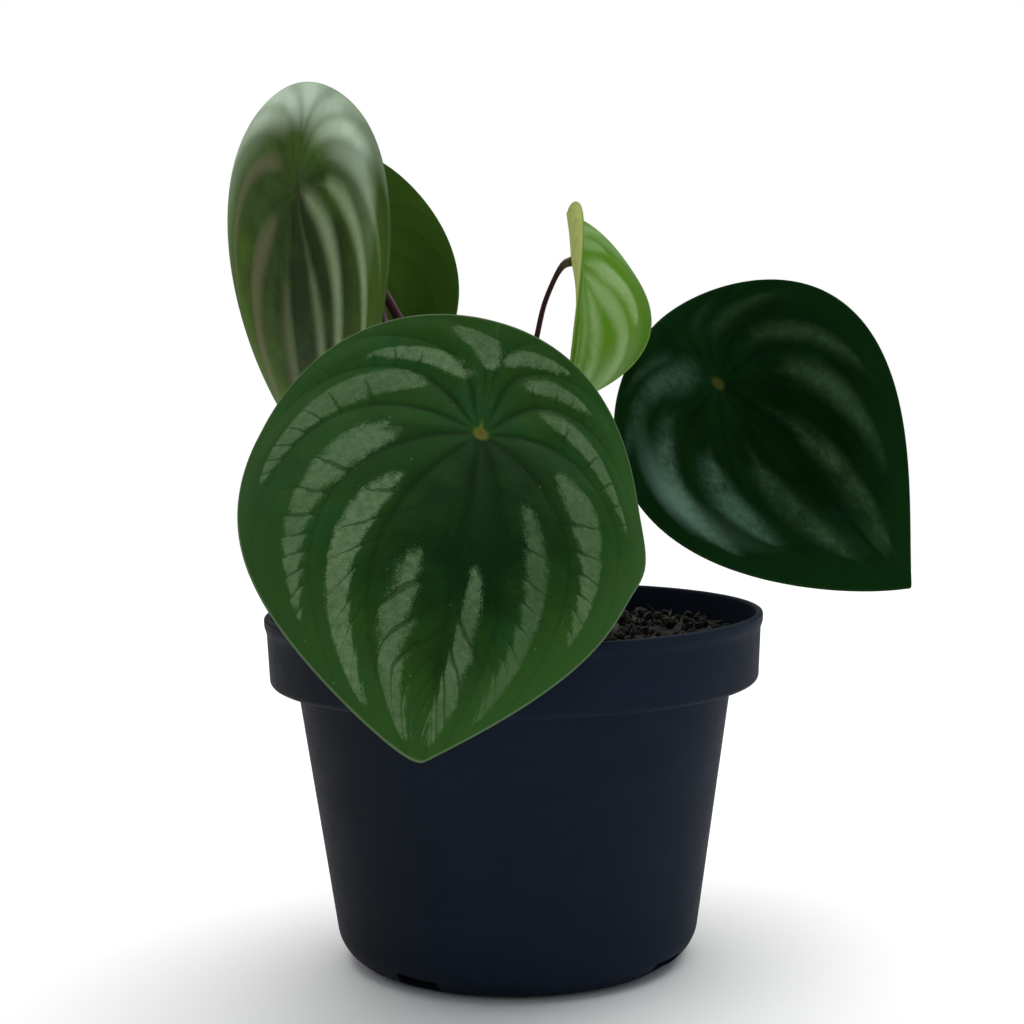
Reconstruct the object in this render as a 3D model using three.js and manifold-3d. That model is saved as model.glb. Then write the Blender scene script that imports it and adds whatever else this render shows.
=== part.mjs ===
import * as THREE from 'three';
import { mergeVertices } from 'three/addons/utils/BufferGeometryUtils.js';
import Module from 'manifold-3d';

// A watermelon peperomia in its nursery pot: five shield-shaped leaves on dark stalks that
// rise from one short crown. Millimetres, +Z up, origin at the centre of the pot's base,
// the plant's front towards -Y.

const wasm = await Module();
wasm.setup();

// Clearance between separate solids that touch on the real plant
const gap = 0.3;

// Pot: a thin moulded shell with a deep stepped collar and a small rolled lip
const potHeight = 84;
const rimRadius = 59.4;
const lipRadius = 60.2;
const lipHeight = 1.6;
const lipFlare = 1.4;
const lipCorner = 0.6;
const collarHeight = 16.5;
const collarFootRadius = 58.9;
const collarFillet = 1.6;
const shoulderRadius = 52.3;
const footRadius = 43.9;
const footCorner = 9.5;
const potWall = 1.2;
const potSegments = 48;

// Drain slots, cut through the rounded corner of the base
const slotAngles = [56, 146, 236, 326];
const slotWidth = 11;
const slotHeight = 6;
const slotDepth = 12;
const slotTilt = 50;

// Soil, a few millimetres below the rim
const soilTop = 78;
const soilSlope = 0.015;
const soilRings = 7;
const soilSegments = 40;

// Crown: the short stem that every leaf stalk grows from
const crownRadius = 7;
const crownFoot = 68;
const crownTop = 86.5;
const crownSegments = 20;

// Leaves: blade thickness, and how finely the blade is divided round and across
const bladeThickness = 0.9;
const bladeAround = 44;
const bladeAcross = 7;
const stalkSides = 8;
const socketSteps = 2;

// Each leaf is set out from its navel, the point where the stalk joins the blade.
// Angles are in degrees. With the blade's upper face seen and its tip down:
// facing  compass direction of the upper face, from the front (-Y) towards +X
// lean    how far the upper face looks up
// turn    turn of the blade about its own normal
// toTip, toBase, left, right   size from the navel, in mm along the surface
// taper   0 gives an oval, 1 a straight-sided tip
// blunt   rounding of the tip
// skew    moves the widest place along one side
// bulge   a swelling of the margin: its place round the margin from the tip, negative on the
//         right, its width in the same degrees, and its share of the blade's size
// curl    curvature of each part, per mm, positive curving down and away
// curlRise   change of the two side curls along the blade, per mm
// fold    slope of each half at the midrib, negative folding up
// stalk   points that the stalk passes on its way from the crown
const leaves = [
  {
    name: '1', navel: [-6.4, -50, 128.8], facing: 29.7, lean: 41.2, turn: 26,
    toTip: 80.5, toBase: 31.3, left: 53.3, right: 42.9, taper: 0.66, blunt: 0.0665, skew: 0.036,
    bulge: { at: -103.2, width: 9.7, share: 0.052 },
    curl: { left: 0.018, right: 0.01, tip: 0.0034, base: -0.0088 },
    stalkRadius: 1.4, stalkSteps: 18, arrival: 7,
    stalk: [[-0.8, -4.2, 81], [-1.5, -6, 88], [-5, -17, 103], [-9, -33, 116]],
  },
  {
    name: '2', navel: [-51.6, 12, 186.5], facing: -52.2, lean: 0.9, turn: 10.3,
    toTip: 69, toBase: 26, left: 40, right: 39.6, taper: 0.546, skew: 0,
    curl: { left: 0.005, right: 0.0021, tip: 0.0061, base: 0.0086 },
    stalkRadius: 1.3, stalkSteps: 22, arrival: 6,
    stalk: [[-4, 0.2, 81], [-5.5, 1, 88], [-10, 6, 110], [-19, 12, 138], [-28.5, 17, 157], [-38, 19.5, 173]],
  },
  {
    name: '3', navel: [-39.6, 66, 177.2], facing: -133.5, lean: 2.3, turn: -22.4,
    toTip: 54.7, toBase: 21.8, left: 36.5, right: 35.8, taper: 0.507, skew: 0,
    curl: { left: 0.0078, right: 0.007, tip: 0.0061, base: 0.0055 },
    stalkRadius: 1.2, stalkSteps: 22, arrival: 4,
    stalk: [[-1.6, 4, 81], [-2.5, 6, 88], [-9, 18, 110], [-22, 36, 135], [-33, 50, 155]],
  },
  {
    name: '4', navel: [16.1, 3, 168.1], facing: 58.6, lean: 18.3, turn: 17.4,
    toTip: 36, toBase: 12.5, left: 22.6, right: 24.4, taper: 0.4545, skew: 0.045,
    curl: { left: -0.0025, right: 0.0017, tip: 0.0126, base: 0 },
    curlRise: { left: 0.0004, right: -0.0006 }, fold: { left: -37, right: -10 },
    stalkRadius: 0.8, stalkSteps: 22, arrival: 3,
    stalk: [[0.8, 0.3, 81], [1, 0.5, 88], [1.6, 2.5, 110], [3.8, 5.5, 136], [6.7, 6.5, 150.3], [9, 6.5, 159]],
  },
  {
    name: '5', navel: [52.6, 24, 137.8], facing: 39.9, lean: 31.8, turn: -29.1,
    toTip: 70.6, toBase: 21.6, left: 46.7, right: 47.7, taper: 0.736, blunt: 0.007, skew: -0.0124,
    curl: { left: 0.007, right: -0.0135, tip: -0.0001, base: -0.0007 },
    stalkRadius: 1.3, stalkSteps: 20, arrival: 7,
    stalk: [[4, 1.6, 81], [5.5, 2.8, 87], [13, 10, 100], [28, 23, 118], [41, 29, 128]],
  },
];

const finish = {
  pot: { color: 0x1d2632, roughness: 0.45 },
  soil: { color: 0x221f1c, roughness: 0.95 },
  crown: { color: 0x33201c, roughness: 0.7 },
  stalk: { color: 0x2d1419, roughness: 0.5 },
  leaf: { color: 0x234b1e, roughness: 0.5 },
  youngLeaf: { color: 0x64913c, roughness: 0.45 },
};

// A closed mesh as a solid for joining and cutting, and back again
function toSolid(geometry) {
  const bare = geometry.clone();
  bare.deleteAttribute('normal');
  bare.deleteAttribute('uv');
  const merged = mergeVertices(bare, 1e-4);
  return new wasm.Manifold(new wasm.Mesh({
    numProp: 3,
    vertProperties: new Float32Array(merged.attributes.position.array),
    triVerts: new Uint32Array(merged.index.array),
  }));
}

function toGeometry(solid) {
  const mesh = solid.getMesh();
  const geometry = new THREE.BufferGeometry();
  geometry.setAttribute('position', new THREE.BufferAttribute(new Float32Array(mesh.vertProperties), 3));
  geometry.setIndex(new THREE.BufferAttribute(new Uint32Array(mesh.triVerts), 1));
  return geometry;
}

function makeMesh(name, geometry, look) {
  geometry.computeVertexNormals();
  const material = new THREE.MeshStandardMaterial({ ...look, metalness: 0 });
  const mesh = new THREE.Mesh(geometry, material);
  mesh.name = name;
  return mesh;
}

// A profile of [radius, height] pairs turned about Z
function turned(profile, segments) {
  const points = profile.map(([radius, height]) => new THREE.Vector2(radius, height));
  const geometry = new THREE.LatheGeometry(points, segments);
  geometry.rotateX(Math.PI / 2);
  return geometry;
}

// Points of an arc, angles in degrees
function arc(centreRadius, centreHeight, radius, from, to, steps) {
  const points = [];
  for (let step = 0; step <= steps; step += 1) {
    const angle = THREE.MathUtils.degToRad(from + (to - from) * step / steps);
    points.push([centreRadius + radius * Math.cos(angle), centreHeight + radius * Math.sin(angle)]);
  }
  return points;
}

const collarFoot = potHeight - collarHeight;

// The pot's profile, moved inwards by inset: 0 is the outside, potWall the inside
function potProfile(inset) {
  const cornerCentre = footRadius - footCorner;
  return [
    [0, inset],
    ...arc(cornerCentre, footCorner, footCorner - inset, -90, -6, 6),
    [shoulderRadius - inset, collarFoot + inset],
    ...arc(collarFootRadius - collarFillet, collarFoot + collarFillet, collarFillet - inset, -90, 0, 3),
  ];
}

function makePot() {
  const outside = [
    ...potProfile(0),
    [rimRadius, potHeight - lipHeight - lipFlare],
    [lipRadius, potHeight - lipHeight],
    ...arc(lipRadius - lipCorner, potHeight - lipCorner, lipCorner, 0, 90, 2),
  ];
  const inside = [
    ...potProfile(potWall),
    [rimRadius - potWall, potHeight - lipCorner],
    [rimRadius - potWall + 0.4, potHeight],
  ];
  const shell = toSolid(turned([...outside, ...inside.reverse()], potSegments));
  return toGeometry(slotAngles.reduce((pot, angle) => pot.subtract(toSolid(makeSlot(angle))), shell));
}

// A block that crosses the rounded corner of the base, angle measured from the front
function makeSlot(angle) {
  const slot = new THREE.BoxGeometry(slotDepth, slotWidth, slotHeight);
  const middle = arc(footRadius - footCorner, footCorner, footCorner, -slotTilt, -slotTilt, 1)[0];
  slot.rotateY(THREE.MathUtils.degToRad(slotTilt));
  slot.translate(middle[0], 0, middle[1]);
  slot.rotateZ(THREE.MathUtils.degToRad(angle - 90));
  return slot;
}

// Uneven height of the soil's surface above soilTop
function soilLump(x, y) {
  const broad = 0.9 * Math.sin(0.11 * x + 0.7) * Math.cos(0.13 * y + 0.4);
  const fine = 0.5 * Math.sin(0.43 * x + 0.21 * y) * Math.sin(0.37 * y - 0.16 * x + 1.1);
  return broad + fine - soilSlope * x;
}

function makeSoil() {
  const inset = potWall + gap;
  const side = potProfile(inset);
  const topRadius = rimRadius - inset - 0.2;
  const profile = [...side, [topRadius, soilTop]];
  for (let ring = soilRings - 1; ring >= 0; ring -= 1) {
    profile.push([topRadius * ring / soilRings, soilTop]);
  }
  const body = turned(profile, soilSegments);
  const position = body.attributes.position;
  for (let index = 0; index < position.count; index += 1) {
    if (position.getZ(index) > soilTop - 0.5) {
      position.setZ(index, soilTop + soilLump(position.getX(index), position.getY(index)));
    }
  }
  const hole = turned([
    [0, crownFoot - gap],
    [crownRadius + gap, crownFoot - gap],
    [crownRadius + gap, potHeight],
    [0, potHeight],
  ], crownSegments);
  return toGeometry(toSolid(body).subtract(toSolid(hole)));
}

// The crown: a blunt stub with a blind hole for the foot of each stalk
function makeCrown(sockets) {
  const stub = toSolid(turned([
    [0, crownFoot],
    [0.7 * crownRadius, crownFoot],
    [0.95 * crownRadius, crownFoot + 4],
    [crownRadius, crownTop - 6],
    [0.86 * crownRadius, crownTop - 2.5],
    [0.5 * crownRadius, crownTop - 0.6],
    [0, crownTop],
  ], crownSegments));
  return toGeometry(sockets.reduce((crown, socket) => crown.subtract(toSolid(socket)), stub));
}

// Directions of a blade: along to the tip, across to the left side, and out of the upper face
function bladeAxes(leaf) {
  const facing = THREE.MathUtils.degToRad(leaf.facing);
  const lean = THREE.MathUtils.degToRad(leaf.lean);
  const turn = THREE.MathUtils.degToRad(leaf.turn);
  const normal = new THREE.Vector3(
    Math.cos(lean) * Math.sin(facing), -Math.cos(lean) * Math.cos(facing), Math.sin(lean));
  const down = new THREE.Vector3(
    Math.sin(lean) * Math.sin(facing), -Math.sin(lean) * Math.cos(facing), -Math.cos(lean));
  const along = down.clone().applyAxisAngle(normal, -turn);
  const across = new THREE.Vector3().crossVectors(along, normal);
  return { along, across, normal };
}

// Half width of a teardrop of width 1 where the squared sine of half the angle is s
function teardrop(taper, blunt, s) {
  return 2 * Math.sqrt(s * (1 - s)) * (s + blunt ** 2) ** (taper / 2);
}

// The swelling of a blade's margin at an angle, a bell round its place
function marginBulge(leaf, angle) {
  if (!leaf.bulge) return 0;
  const away = THREE.MathUtils.radToDeg(Math.atan2(Math.sin(angle), Math.cos(angle))) - leaf.bulge.at;
  return leaf.bulge.share * Math.exp(-((away / leaf.bulge.width) ** 2));
}

// Flat outline: a teardrop round the navel, angle 0 at the tip and pi at the base
function bladeOutline(leaf, angle) {
  const { taper, blunt = 0 } = leaf;
  const slant = 1 + taper - 2 * blunt ** 2;
  const atWidest = (slant + Math.sqrt(slant ** 2 + 4 * (2 + taper) * blunt ** 2)) / (2 * (2 + taper));
  const half = teardrop(taper, blunt, Math.sin(angle / 2) ** 2) / teardrop(taper, blunt, atWidest);
  const side = Math.sin(angle) >= 0 ? leaf.left : -leaf.right;
  const swell = 1 + leaf.skew * Math.sin(2 * angle) + marginBulge(leaf, angle);
  const reach = (1 + Math.cos(angle)) / 2;
  return {
    x: swell * side * half,
    y: swell * ((leaf.toBase + leaf.toTip) * reach - leaf.toBase),
  };
}

// A flat point (x, y) of the blade, raised by height from its middle surface, curled into place.
// Across the blade and along it the surface follows arcs, so its lengths are kept.
function curledPoint(leaf, axes, x, y, height) {
  const side = x >= 0 ? 'left' : 'right';
  const rise = leaf.curlRise ? leaf.curlRise[side] * y : 0;
  const bendAcross = leaf.curl[side] + rise || 1e-6;
  const foldAngle = x !== 0 && leaf.fold ? THREE.MathUtils.degToRad(leaf.fold[side]) : 0;
  const slope = foldAngle + bendAcross * Math.abs(x);
  const sidestep = (Math.sin(slope) - Math.sin(foldAngle)) / bendAcross + height * Math.sin(slope);
  const drop = (Math.cos(slope) - Math.cos(foldAngle)) / bendAcross + height * Math.cos(slope);
  const bendAlong = leaf.curl[y >= 0 ? 'tip' : 'base'] || 1e-6;
  const pitch = bendAlong * y;
  const forward = Math.sin(pitch) / bendAlong + drop * Math.sin(pitch);
  const outward = (Math.cos(pitch) - 1) / Math.abs(bendAlong) * Math.sign(bendAlong) + drop * Math.cos(pitch);
  return new THREE.Vector3(...leaf.navel)
    .addScaledVector(axes.across, Math.sign(x) * sidestep)
    .addScaledVector(axes.along, forward)
    .addScaledVector(axes.normal, outward);
}

// A blade of even thickness: the same web of triangles on both faces, joined round the margin
function makeBlade(leaf) {
  const axes = bladeAxes(leaf);
  const vertices = [];
  const triangles = [];
  const faceSize = 1 + bladeAround * bladeAcross;
  for (const height of [bladeThickness / 2, -bladeThickness / 2]) {
    vertices.push(...curledPoint(leaf, axes, 0, 0, height));
    for (let ring = 1; ring <= bladeAcross; ring += 1) {
      for (let step = 0; step < bladeAround; step += 1) {
        const edge = bladeOutline(leaf, 2 * Math.PI * step / bladeAround);
        const onMidrib = step === 0 || 2 * step === bladeAround;
        const x = onMidrib ? 0 : edge.x * ring / bladeAcross;
        vertices.push(...curledPoint(leaf, axes, x, edge.y * ring / bladeAcross, height));
      }
    }
  }
  const at = (face, ring, step) => (
    face * faceSize + (ring === 0 ? 0 : 1 + (ring - 1) * bladeAround + step % bladeAround));
  const addTriangle = (face, a, b, c) => triangles.push(...(face === 0 ? [a, c, b] : [a, b, c]));
  for (const face of [0, 1]) {
    for (let step = 0; step < bladeAround; step += 1) {
      addTriangle(face, at(face, 0, 0), at(face, 1, step), at(face, 1, step + 1));
      for (let ring = 1; ring < bladeAcross; ring += 1) {
        addTriangle(face, at(face, ring, step), at(face, ring + 1, step), at(face, ring + 1, step + 1));
        addTriangle(face, at(face, ring, step), at(face, ring + 1, step + 1), at(face, ring, step + 1));
      }
    }
  }
  for (let step = 0; step < bladeAround; step += 1) {
    const [a, b] = [at(0, bladeAcross, step), at(0, bladeAcross, step + 1)];
    const [c, d] = [at(1, bladeAcross, step), at(1, bladeAcross, step + 1)];
    triangles.push(a, d, c, a, b, d);
  }
  const geometry = new THREE.BufferGeometry();
  geometry.setAttribute('position', new THREE.Float32BufferAttribute(vertices, 3));
  geometry.setIndex(triangles);
  return geometry;
}

// The stalk's route ends square to the blade, just short of its underside
function stalkRoute(leaf) {
  const axes = bladeAxes(leaf);
  const navel = new THREE.Vector3(...leaf.navel);
  const behind = (distance) => navel.clone().addScaledVector(axes.normal, -distance);
  const end = bladeThickness / 2 + gap;
  return [
    ...leaf.stalk.map((point) => new THREE.Vector3(...point)),
    behind(end + leaf.arrival),
    behind(end),
  ];
}

function tube(route, radius, steps) {
  const section = new THREE.Shape();
  for (let side = 0; side < stalkSides; side += 1) {
    const angle = 2 * Math.PI * side / stalkSides;
    const [x, y] = [radius * Math.cos(angle), radius * Math.sin(angle)];
    if (side === 0) section.moveTo(x, y);
    else section.lineTo(x, y);
  }
  section.closePath();
  const extrudePath = new THREE.CatmullRomCurve3(route, false, 'centripetal');
  return new THREE.ExtrudeGeometry(section, { steps, extrudePath, bevelEnabled: false });
}

// The hole that a stalk's foot stands in: the same route, one clearance wider and deeper
function makeSocket(leaf) {
  const [foot, next] = stalkRoute(leaf);
  const direction = next.clone().sub(foot).normalize();
  const route = [foot.clone().addScaledVector(direction, -gap), foot, next];
  return tube(route, leaf.stalkRadius + gap, socketSteps);
}

const plant = new THREE.Group();
plant.name = 'potted_peperomia';
plant.add(makeMesh('pot', makePot(), finish.pot));
plant.add(makeMesh('soil', makeSoil(), finish.soil));
plant.add(makeMesh('crown', makeCrown(leaves.map(makeSocket)), finish.crown));
for (const leaf of leaves) {
  const stalk = tube(stalkRoute(leaf), leaf.stalkRadius, leaf.stalkSteps);
  plant.add(makeMesh(`leaf_stalk_${leaf.name}`, stalk, finish.stalk));
  plant.add(makeMesh(`leaf_${leaf.name}`, makeBlade(leaf), leaf.name === '4' ? finish.youngLeaf : finish.leaf));
}

export default plant;
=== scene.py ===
import math

import bpy
import numpy as np
from mathutils import Matrix, Vector


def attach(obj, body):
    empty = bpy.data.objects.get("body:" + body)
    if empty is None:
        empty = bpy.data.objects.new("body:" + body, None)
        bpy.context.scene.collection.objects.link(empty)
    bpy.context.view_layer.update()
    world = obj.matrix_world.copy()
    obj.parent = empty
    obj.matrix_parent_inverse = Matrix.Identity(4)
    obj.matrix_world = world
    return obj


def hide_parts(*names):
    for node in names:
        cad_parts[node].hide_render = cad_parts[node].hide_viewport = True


# A watermelon peperomia in its nursery pot. The scene is in metres, the pot stands on z = 0 and the
# plant's front faces -Y. Shapes are worked out in millimetres and scaled as each mesh is made.

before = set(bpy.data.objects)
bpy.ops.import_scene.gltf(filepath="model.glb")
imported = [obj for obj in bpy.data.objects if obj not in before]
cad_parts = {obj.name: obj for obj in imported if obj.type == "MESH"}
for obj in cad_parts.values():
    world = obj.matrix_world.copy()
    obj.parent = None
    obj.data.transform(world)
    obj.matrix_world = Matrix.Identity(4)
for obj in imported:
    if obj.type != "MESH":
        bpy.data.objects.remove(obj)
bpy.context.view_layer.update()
mm = 0.001
random = np.random.default_rng(11)

# settings that many nodes share
times = {"operation": "MULTIPLY"}
timesPlus = {"operation": "MULTIPLY_ADD"}
softStep = {"interpolation_type": "SMOOTHSTEP"}
colourMix = {"out": 2, "data_type": "RGBA"}


def hexColour(code):
    # an sRGB hex colour as the linear values that shaders take
    parts = [int(code[i:i + 2], 16) / 255 for i in (1, 3, 5)]
    return [p / 12.92 if p <= 0.04045 else ((p + 0.055) / 1.055) ** 2.4 for p in parts] + [1.0]


def newMaterial(name):
    # an empty material with its Principled shader joined to the output
    material = bpy.data.materials.new(name)
    material.use_nodes = True
    tree = material.node_tree
    tree.nodes.clear()
    shader = tree.nodes.new("ShaderNodeBsdfPrincipled")
    output = tree.nodes.new("ShaderNodeOutputMaterial")
    tree.links.new(shader.outputs[0], output.inputs[0])
    return material, tree, shader


def add(tree, kind, inputs=None, out=0, **settings):
    # one node: inputs maps a socket to a value, to a hex colour or to the socket that feeds it; gives
    # the output asked for
    made = tree.nodes.new("ShaderNode" + kind)
    for name, value in settings.items():
        setattr(made, name, value)
    for key, value in (inputs or {}).items():
        if isinstance(value, bpy.types.NodeSocket):
            tree.links.new(value, made.inputs[key])
        else:
            made.inputs[key].default_value = hexColour(value) if isinstance(value, str) else value
    return made.outputs[out]


def smooth(x, low, high):
    # rises from 0 at low to 1 at high with level ends: t squared times (3 - 2 t)
    t = np.clip((x - low) / (high - low), 0, 1)
    return t * t * (3 - 2 * t)


def wrappedFaces(rows, columns):
    # the quads of a grid whose columns wrap round, and the triangles that join its first and its
    # last row to the two points that follow the grid's own
    ring = np.arange(columns)
    after = (ring + 1) % columns
    row = np.arange(rows - 1)[:, None] * columns
    quads = np.stack([row + ring, row + after, row + columns + after, row + columns + ring], -1)
    last, middle = (rows - 1) * columns, np.full(columns, rows * columns)
    fans = [np.stack([ring, middle, after], -1), np.stack([last + after, middle + 1, last + ring], -1)]
    return quads.reshape(-1, 4), np.vstack(fans)


def gridMesh(name, points, material, fields=None):
    # rows x columns x 3 points in mm become one closed mesh, with the mean of the first and of the
    # last row as its end points. Fields are kept as attributes
    quads, triangles = wrappedFaces(*points.shape[:2])
    vertices = np.vstack([points.reshape(-1, 3), points[0].mean(0), points[-1].mean(0)])
    starts = np.concatenate([np.arange(len(quads)) * 4, len(quads) * 4 + np.arange(len(triangles)) * 3])
    mesh = bpy.data.meshes.new(name)
    mesh.vertices.add(len(vertices))
    mesh.vertices.foreach_set("co", (vertices * mm).ravel())
    mesh.loops.add(quads.size + triangles.size)
    mesh.loops.foreach_set("vertex_index", np.concatenate([quads.ravel(), triangles.ravel()]))
    mesh.polygons.add(len(starts))
    mesh.polygons.foreach_set("loop_start", starts)
    mesh.update(calc_edges=True)
    mesh.validate()
    mesh.polygons.foreach_set("use_smooth", np.ones(len(mesh.polygons), bool))
    for field, values in (fields or {}).items():
        whole = np.concatenate([values.ravel(), [values[0].mean(), values[-1].mean()]])
        mesh.attributes.new(field, "FLOAT", "POINT").data.foreach_set("value", whole.astype(np.float32))
    return placePiece(name, mesh, material)


def placePiece(name, mesh, material):
    # the mesh as a piece at the origin, with its material and the body that it rides on
    piece = bpy.data.objects.new(name, mesh)
    bpy.context.scene.collection.objects.link(piece)
    mesh.materials.append(material)
    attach(piece, "root")
    return piece


def applyModifiers(piece):
    # the piece's modifiers are worked into its mesh
    graph = bpy.context.evaluated_depsgraph_get()
    finished = bpy.data.meshes.new_from_object(piece.evaluated_get(graph))
    piece.modifiers.clear()
    piece.data = finished
    return piece


# Camera: at the height of the foliage, nearly level, as the plant was photographed

cameraView = {
    "place": (0, -0.480, 0.1448),
    "pitchDown": 4.406, "roll": -0.81,  # degrees
    "lens": 70.15, "sensor": 36,  # mm
}


def makeCamera(look):
    # looks along +Y, tipped down and then rolled about its own axis
    data = bpy.data.cameras.new("camera")
    data.lens = look["lens"]
    data.sensor_width = look["sensor"]
    camera = bpy.data.objects.new("camera", data)
    bpy.context.scene.collection.objects.link(camera)
    upright = Matrix.Rotation(math.radians(90 - look["pitchDown"]), 4, "X")
    rolled = Matrix.Rotation(math.radians(look["roll"]), 4, "Z")
    camera.matrix_world = Matrix.Translation(look["place"]) @ upright @ rolled
    bpy.context.scene.camera = camera


makeCamera(cameraView)
print("stage: camera")


# Leaves. A blade is set out round its navel: x across to the side at the viewer's left, y along to
# the tip, both in mm along the surface. An angle runs round the margin, 0 at the tip. Facing, lean,
# turn, folds and the bulge's place are in degrees, lengths in mm, curls are one over a radius, and a
# rise is what a curl gains for each mm towards the tip.

leaves = {
    "1": {"navel": (-6.4, -50, 128.8), "facing": 29.7, "lean": 41.2, "turn": 26,
          "toTip": 80.5, "toBase": 31.3, "left": 53.3, "right": 42.9,
          "taper": 0.66, "blunt": 0.0665, "skew": 0.036,
          "bulge": {"at": -103.2, "width": 9.7, "share": 0.052},
          "curlLeft": 0.018, "curlRight": 0.01, "curlTip": 0.0034, "curlBase": -0.0088},
    "2": {"navel": (-51.6, 12, 186.5), "facing": -52.2, "lean": 0.9, "turn": 10.3,
          "toTip": 69, "toBase": 26, "left": 40, "right": 39.6, "taper": 0.546, "skew": 0,
          "curlLeft": 0.005, "curlRight": 0.0021, "curlTip": 0.0061, "curlBase": 0.0086},
    "3": {"navel": (-39.6, 66, 177.2), "facing": -133.5, "lean": 2.3, "turn": -22.4,
          "toTip": 54.7, "toBase": 21.8, "left": 36.5, "right": 35.8, "taper": 0.507, "skew": 0,
          "curlLeft": 0.0078, "curlRight": 0.007, "curlTip": 0.0061, "curlBase": 0.0055},
    "4": {"navel": (16.1, 3, 168.1), "facing": 58.6, "lean": 18.3, "turn": 17.4,
          "toTip": 36, "toBase": 12.5, "left": 22.6, "right": 24.4, "taper": 0.4545, "skew": 0.045,
          "curlLeft": -0.0025, "curlRight": 0.0017, "curlTip": 0.0126, "curlBase": 0,
          "riseLeft": 0.0004, "riseRight": -0.0006, "foldLeft": -37, "foldRight": -10},
    "5": {"navel": (52.6, 24, 137.8), "facing": 39.9, "lean": 31.8, "turn": -29.1,
          "toTip": 70.6, "toBase": 21.6, "left": 46.7, "right": 47.7,
          "taper": 0.736, "blunt": 0.007, "skew": -0.0124,
          "curlLeft": 0.007, "curlRight": -0.0135, "curlTip": -0.0001, "curlBase": -0.0007},
}

# Markings, counted in veins: 13 main veins stand at whole numbers, 0 along the midrib and positive
# on the left, and a silver stripe lies between each two. Reach runs from 0 at the navel to 1 at the
# margin. Each stripe: where its middle lies as it starts and ends, its reach there, half its width
# in mm and its strength. Each patch of painted highlight (pale, where the blade catches the sky's
# shine) or of painted shade (dark): its middle and width in veins, the reach where it sets in and
# where it is full, and its strength. Swerve: how far, about which vein, how wide.
# Lines are the side veins, and relief is the share of the quilting.

halfStripes = [(5.5, 5.45, 0.62, 0.95, 2.6, 0.8), (4.5, 4.45, 0.52, 0.94, 3.0, 0.9),
               (3.5, 3.4, 0.42, 0.92, 3.6, 1.0), (2.5, 2.4, 0.36, 0.94, 4.0, 1.0),
               (1.5, 1.5, 0.34, 0.96, 4.0, 1.0), (0.5, 0.45, 0.40, 0.96, 3.2, 0.9)]
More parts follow.
